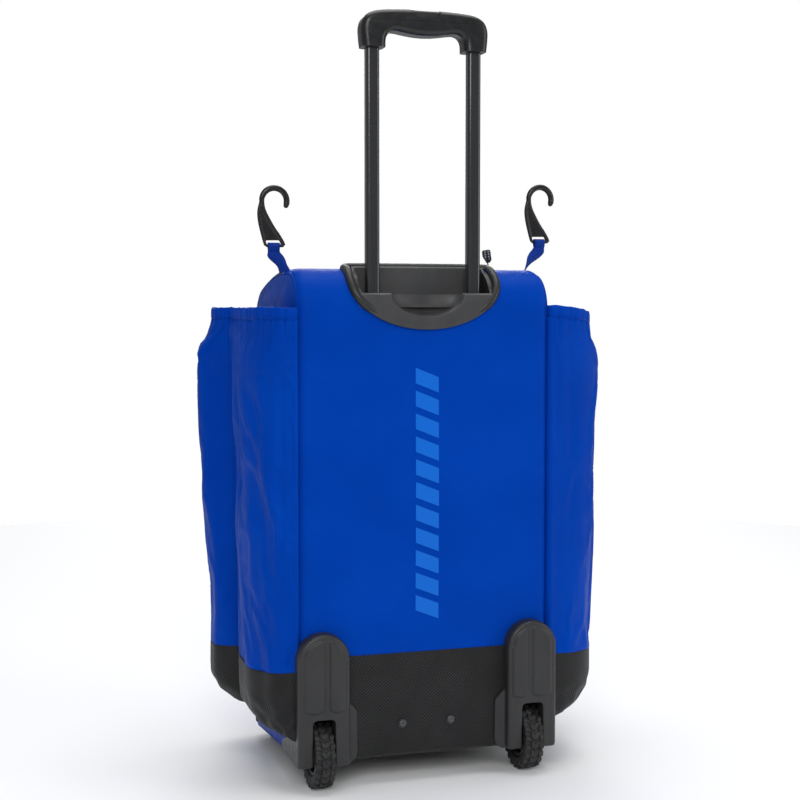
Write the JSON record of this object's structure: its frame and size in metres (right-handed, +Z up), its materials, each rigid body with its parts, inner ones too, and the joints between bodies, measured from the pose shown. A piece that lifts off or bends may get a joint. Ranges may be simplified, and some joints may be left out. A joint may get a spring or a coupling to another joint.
{
  "type": "wheeled sports equipment bag",
  "caption": "Upright wheeled bag with telescopic handle, open side sleeves, fence hooks, a zipped front flap with a flat pocket, and two wheels in moulded housings.",
  "frame": {"origin": "on the floor, below the middle of the bag", "axes": "+Z up; +Y to the front of the bag, away from the handle and wheels; +X to the right for someone behind the bag"},
  "size_m": [0.5902, 0.364, 1.115],
  "materials": {
    "blue_fabric": "smooth coated polyester with a soft sheen",
    "black_weave": "coarse ballistic weave",
    "lining": "matt lining board",
    "black_plastic": "fine grained satin moulding",
    "gloss_enamel": "gloss black enamel on drawn tube",
    "rubber": "matt moulded rubber",
    "tyre": "knobbly moulded tyre",
    "steel": "plated",
    "aluminium": "drawn",
    "zip": "woven tape and moulded teeth"
  },
  "bodies": {
    "body": {"spine_panel": "blue_fabric", "lower_back_panel": "black_weave", "side_panel_left": "blue_fabric", "side_panel_right": "blue_fabric", "base_panel": "black_weave", "front_apron": "black_weave", "back_board": "lining", "front_foot_left": "rubber", "front_foot_right": "rubber", "zip_chain_frame": "zip", "bat_pocket_left": "blue_fabric", "bat_pocket_right": "blue_fabric", "pocket_hem_left": "blue_fabric", "pocket_hem_right": "blue_fabric", "pocket_boot_left": "black_weave", "pocket_boot_right": "black_weave", "handle_cup": "black_plastic", "outer_tube_left": "aluminium", "outer_tube_right": "aluminium", "foot_bracket": "black_plastic", "bracket_bolt_left": "steel", "bracket_bolt_right": "steel", "wheel_housing_left": "black_plastic", "wheel_housing_right": "black_plastic", "wheel_axle_left": "steel", "wheel_axle_right": "steel"},
    "handle": {"inner_tube_left": "gloss_enamel", "inner_tube_right": "gloss_enamel", "tube_plug_left": "black_plastic", "tube_plug_right": "black_plastic", "grip_lower": "black_plastic", "grip_upper": "black_plastic", "button_spring": "steel"},
    "button": {"release_button": "black_plastic", "push_yoke": "black_plastic", "push_rod_left": "aluminium", "push_rod_right": "aluminium"},
    "pin_left": {"lock_pin_left": "steel"},
    "pin_right": {"lock_pin_right": "steel"},
    "wheel_left": {"wheel_tyre_left": "tyre", "wheel_hub_left": "black_plastic", "wheel_bearing_left": "steel"},
    "wheel_right": {"wheel_tyre_right": "tyre", "wheel_hub_right": "black_plastic", "wheel_bearing_right": "steel"},
    "flap": {"front_flap": "blue_fabric", "front_pocket": "blue_fabric", "zip_chain_flap": "zip", "pocket_zip_chain": "zip"},
    "main_slider": {"main_zip_slider": "zip"},
    "main_pull": {"main_zip_pull": "rubber"},
    "pocket_slider": {"pocket_zip_slider": "zip"},
    "pocket_pull": {"pocket_zip_pull": "rubber"},
    "strap_left": {"hook_strap_left": "blue_fabric"},
    "strap_right": {"hook_strap_right": "blue_fabric"},
    "hook_left": {"fence_hook_left": "black_plastic"},
    "hook_right": {"fence_hook_right": "black_plastic"}
  },
  "joints": [
    {"name": "handle_slide", "type": "slide", "parent": "body", "child": "handle", "axis": [0, 0, 1], "range_m": [-0.36, 0]},
    {"name": "button_press", "type": "slide", "parent": "handle", "child": "button", "axis": [0, 0, -1], "range_m": [0, 0.005], "stiffness_N_per_m": 1000, "springref_m": -0.004, "deforming": ["button_spring"]},
    {"name": "pin_draw_left", "type": "slide", "parent": "handle", "child": "pin_left", "axis": [1, 0, 0], "range_m": [0, 0.0025]},
    {"name": "pin_draw_right", "type": "slide", "parent": "handle", "child": "pin_right", "axis": [-1, 0, 0], "range_m": [0, 0.0025]},
    {"name": "wheel_spin_left", "type": "hinge", "parent": "body", "child": "wheel_left", "pos_m": [-0.159, -0.132, 0.05], "axis": [1, 0, 0], "continuous": true},
    {"name": "wheel_spin_right", "type": "hinge", "parent": "body", "child": "wheel_right", "pos_m": [0.159, -0.132, 0.05], "axis": [1, 0, 0], "continuous": true},
    {"name": "flap_open", "type": "hinge", "parent": "body", "child": "flap", "pos_m": [0, 0.153, 0.0612], "axis": [-1, 0, 0], "range_deg": [0, 85]},
    {"name": "main_zip_slide", "type": "slide", "parent": "flap", "child": "main_slider", "axis": [1, 0, 0], "range_m": [-0.28, 0]},
    {"name": "main_pull_swing", "type": "hinge", "parent": "main_slider", "child": "main_pull", "pos_m": [0.14, -0.0288, 0.75352], "axis": [0, 1, 0], "range_deg": [-70, 70]},
    {"name": "pocket_zip_slide", "type": "slide", "parent": "flap", "child": "pocket_slider", "axis": [1, 0, 0], "range_m": [-0.24, 0]},
    {"name": "pocket_pull_swing", "type": "hinge", "parent": "pocket_slider", "child": "pocket_pull", "pos_m": [0.12, 0.1807, 0.4498], "axis": [1, 0, 0], "range_deg": [0, 85]},
    {"name": "strap_flex_left", "type": "hinge", "parent": "body", "child": "strap_left", "pos_m": [-0.1925, -0.055, 0.75], "axis": [0, 1, 0], "range_deg": [-55, 55]},
    {"name": "strap_flex_right", "type": "hinge", "parent": "body", "child": "strap_right", "pos_m": [0.1925, -0.055, 0.75], "axis": [0, 1, 0], "range_deg": [-55, 55]},
    {"name": "hook_swing_left", "type": "hinge", "parent": "strap_left", "child": "hook_left", "pos_m": [-0.2, -0.055, 0.7815], "axis": [1, 0, 0], "range_deg": [-75, 75]},
    {"name": "hook_swing_right", "type": "hinge", "parent": "strap_right", "child": "hook_right", "pos_m": [0.216, -0.055, 0.7925], "axis": [1, 0, 0], "range_deg": [-75, 75]}
  ],
  "couplings": [
    {"joint": "pin_draw_left", "follows": "button_press", "ratio": 0.5},
    {"joint": "pin_draw_right", "follows": "button_press", "ratio": 0.5}
  ]
}
